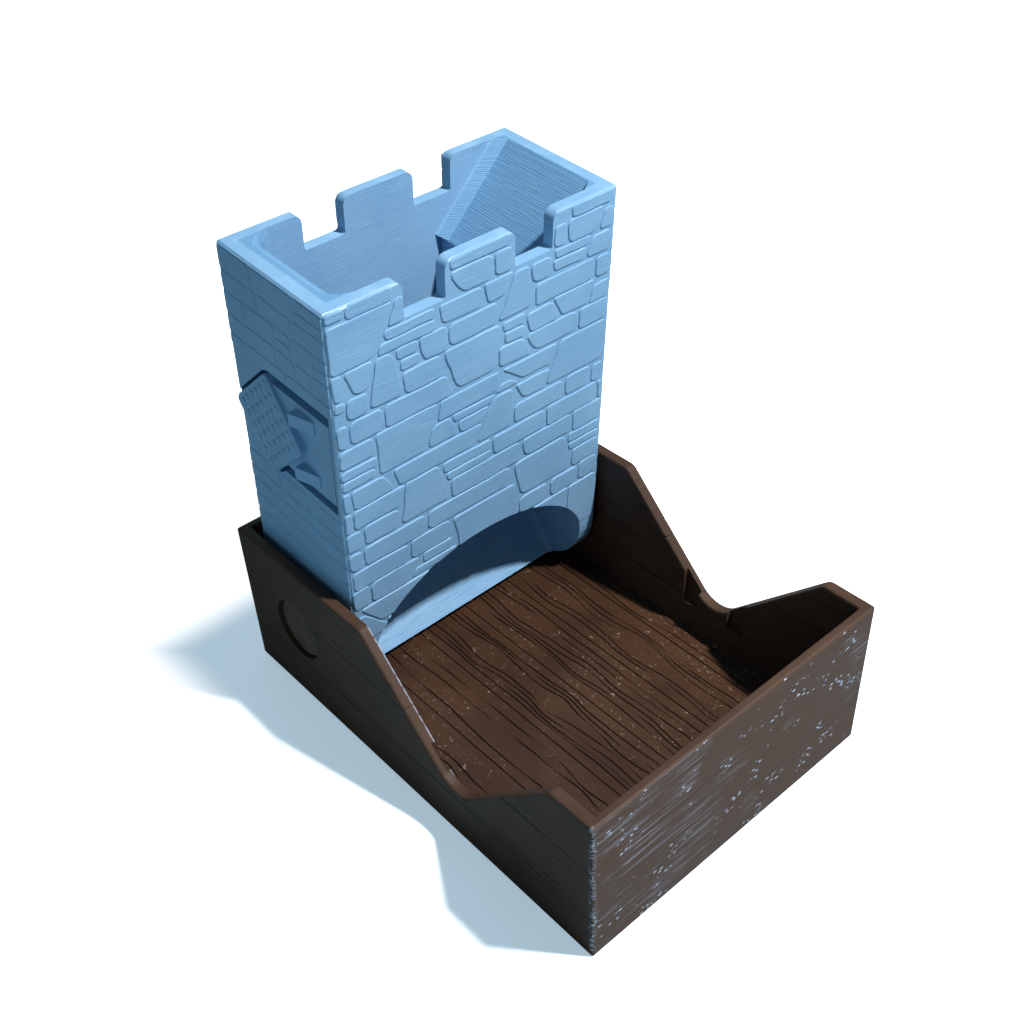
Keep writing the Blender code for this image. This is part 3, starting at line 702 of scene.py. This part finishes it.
def lineAcross(board, base, y, seed):
    # where a grain line lies across the board at y
    x = base
    for knotX, knotY, push, reach in board["knots"]:
        near = math.exp(-((y - knotY) / reach) ** 2) * math.exp(-((base - knotX) / 4.5) ** 2)
        x += push * near * (1 if base >= knotX else -1)
    wave = noise.noise(Vector((base * 0.35, y * 0.055, seed)))
    ripple = noise.noise(Vector((base * 0.9, y * 0.16, seed + 9.0)))
    return x + floorBoards["sway"] * (1.5 * wave + 0.4 * ripple)


def makeBoard(index, left, right):
    board = grain[index]
    half = floorBoards["grooveHalf"]
    rows = int((floorBoards["back"] - floorBoards["front"]) / floorBoards["rowPitch"])
    columns = 2 + 5 * len(board["lines"])
    bm = bmesh.new()
    bmesh.ops.create_grid(bm, x_segments=columns - 1, y_segments=rows, size=1.0)
    # depth of each point in a groove, which the board finish paints as shade
    depthLayer = bm.verts.layers.float.new("depth")
    ordered = sorted(bm.verts, key=lambda v: (round(v.co.y, 5), v.co.x))
    top = floorBoards["floor"] + floorBoards["proud"]
    for row in range(rows + 1):
        y = floorBoards["front"] + (floorBoards["back"] - floorBoards["front"]) * row / rows
        across = []
        for number, base in enumerate(board["lines"]):
            x = lineAcross(board, base, y, index * 3.7)
            if across:
                x = max(x, across[-1][0] + 1.2 * half)
            strength = 0.5 + 0.5 * noise.noise(Vector((base * 3.1, y * 0.075, 4.0 + index)))
            strength = min(1.0, max(0.0, strength * 3.4 - 0.8))
            wide = half * (0.75 + 0.5 * strength)
            across.append((x - wide, 0.0))
            across.append((x - wide * 0.4, strength))
            across.append((x, strength))
            across.append((x + wide * 0.4, strength))
            across.append((x + wide, 0.0))
        across = [(left, 0.0)] + across + [(right, 0.0)]
        last = left
        for column, (x, strength) in enumerate(across):
            vert = ordered[row * len(across) + column]
            x = min(max(x, last + (0.02 if column else 0.0)), right - 0.02 * (len(across) - 1 - column))
            last = x
            vert.co = (x, y, top - strength * floorBoards["grooveDeep"])
            vert[depthLayer] = strength
    rim = [line for line in bm.edges if line.is_boundary]
    skirt = bmesh.ops.extrude_edge_only(bm, edges=rim)["geom"]
    skirtVerts = [part for part in skirt if isinstance(part, bmesh.types.BMVert)]
    for vert in skirtVerts:
        vert.co.z = floorBoards["floor"] - floorBoards["sink"]
        vert[depthLayer] = 1.0
    bottom = [line for line in bm.edges if line.is_boundary]
    bmesh.ops.contextual_create(bm, geom=bottom)
    bmesh.ops.recalc_face_normals(bm, faces=bm.faces[:])
    bmesh.ops.scale(bm, vec=(mm, mm, mm), verts=bm.verts[:])
    return bm


edges = [-floorBoards["halfWidth"]]
for joint in floorBoards["joints"]:
    edges += [joint - floorBoards["joint"] / 2, joint + floorBoards["joint"] / 2]
edges.append(floorBoards["halfWidth"])
for index in range(len(grain)):
    bm = makeBoard(index, edges[2 * index], edges[2 * index + 1])
    shadeFlat(finishPiece("floor_board_" + str(index + 1), bm, boardBrown, "tray"))
print("floor boards laid")


# stage: white floor that keeps the shadow near the tray, a lamp at the front right, soft fill from the left and behind

stage = {
    "floorColour": (0.93, 0.95, 0.97, 1.0),
    "floorBounce": (0.30, 0.43, 0.50, 1.0),
    "skyColour": (0.55, 0.83, 1.0, 1.0),
    "skyStrength": 0.17,
    "lampPlace": (0.145, -0.275, 0.567),
    "lampAim": (0.0, 0.0, 0.06),
    "lampSize": 0.035,
    "lampPower": 5.4,
    "fillAim": (0.95, 0.3, -0.1),
    "fillColour": (0.6, 0.9, 1.0),
    "fillStrength": 0.38,
    "fillSoft": 40.0,
    "backAim": (-0.25, -0.9, -0.3),
    "backStrength": 0.3,
    "shadowLift": (0.31, 0.40, 0.47, 1.0),
    "liftFrom": 13.0,
    "liftTo": 28.0,
    "trayHalf": (45.0, 63.7),
}


def makeFloor():
    bm = bmesh.new()
    bmesh.ops.create_grid(bm, x_segments=1, y_segments=1, size=3.0)
    mesh = bpy.data.meshes.new("stage_floor")
    bm.to_mesh(mesh)
    bm.free()
    floor = bpy.data.objects.new("stage_floor", mesh)
    scene.collection.objects.link(floor)
    finish = Finish("stage_paper")
    x, y, z = finish.axes(finish.place())
    beside = finish.node("ShaderNodeMath", {"operation": "MAXIMUM"},
                         {0: abs(x) - stage["trayHalf"][0] * mm, 1: abs(y) - stage["trayHalf"][1] * mm})
    # painted light: for the camera the floor glows, lifting the shadow near the tray and turning white away from it
    away = finish.smooth(beside, stage["liftFrom"] * mm, stage["liftTo"] * mm)
    seen = finish.node("ShaderNodeLightPath", out="Is Camera Ray")
    lift = finish.mix(away, stage["shadowLift"], (1, 1, 1, 1))
    finish.surface(Base_Color=finish.mix(seen, stage["floorBounce"], stage["floorColour"]), Roughness=0.9,
                   Specular_IOR_Level=0.0, Emission_Color=finish.mix(seen, (0, 0, 0, 1), lift), Emission_Strength=1.0)
    mesh.materials.append(finish.material)


def makeSky():
    world = bpy.data.worlds.new("daylight")
    scene.world = world
    world.use_nodes = True
    nodes = NodeTree(world.node_tree)
    sky = nodes.node("ShaderNodeBackground", inputs={"Color": stage["skyColour"], "Strength": stage["skyStrength"]})
    white = nodes.node("ShaderNodeBackground", inputs={"Color": (1, 1, 1, 1), "Strength": 1.0})
    seen = nodes.node("ShaderNodeLightPath", out="Is Camera Ray")
    shown = nodes.node("ShaderNodeMixShader", inputs={0: seen, 1: sky, 2: white})
    nodes.feed(world.node_tree.nodes["World Output"].inputs[0], shown)


def hangLamp(name, kind, aim, place=(0, 0, 1)):
    lamp = bpy.data.lights.new(name, kind)
    holder = bpy.data.objects.new(name, lamp)
    holder.location = place
    holder.rotation_mode = "QUATERNION"
    holder.rotation_quaternion = Vector(aim).to_track_quat("-Z", "Y")
    scene.collection.objects.link(holder)
    return lamp


def makeStage():
    makeFloor()
    makeSky()
    lamp = hangLamp("desk_lamp", "AREA", Vector(stage["lampAim"]) - Vector(stage["lampPlace"]), stage["lampPlace"])
    lamp.shape = "DISK"
    lamp.size = stage["lampSize"]
    lamp.energy = stage["lampPower"]
    fill = hangLamp("window_fill", "SUN", stage["fillAim"])
    fill.energy = stage["fillStrength"]
    fill.color = stage["fillColour"]
    fill.angle = math.radians(stage["fillSoft"])
    back = hangLamp("back_fill", "SUN", stage["backAim"])
    back.energy = stage["backStrength"]
    back.color = stage["fillColour"]
    back.angle = math.radians(stage["fillSoft"])


makeStage()

lens = {
    "place": (-0.15215, -0.1730, 0.24666),
    "azimuth": 39.84,
    "elevation": 38.96,
    "roll": -2.955,
    "focal": 45.14,
}


def makeCamera():
    az, el, roll = (math.radians(lens[key]) for key in ("azimuth", "elevation", "roll"))
    ahead = Vector((math.sin(az) * math.cos(el), math.cos(az) * math.cos(el), -math.sin(el)))
    right = Vector((math.cos(az), -math.sin(az), 0))
    up = right.cross(ahead)
    rightTurned = math.cos(roll) * right + math.sin(roll) * up
    upTurned = -math.sin(roll) * right + math.cos(roll) * up
    data = bpy.data.cameras.new("photo_camera")
    data.sensor_width = 36.0
    data.lens = lens["focal"]
    data.clip_start = 0.01
    data.clip_end = 20.0
    camera = bpy.data.objects.new("photo_camera", data)
    camera.matrix_world = (Matrix.Translation(lens["place"])
                           @ Matrix((rightTurned, upTurned, -ahead)).transposed().to_4x4())
    scene.collection.objects.link(camera)
    scene.camera = camera


makeCamera()
scene.view_settings.view_transform = "Standard"
print("stage, light and camera set")

bpy.context.view_layer.update()
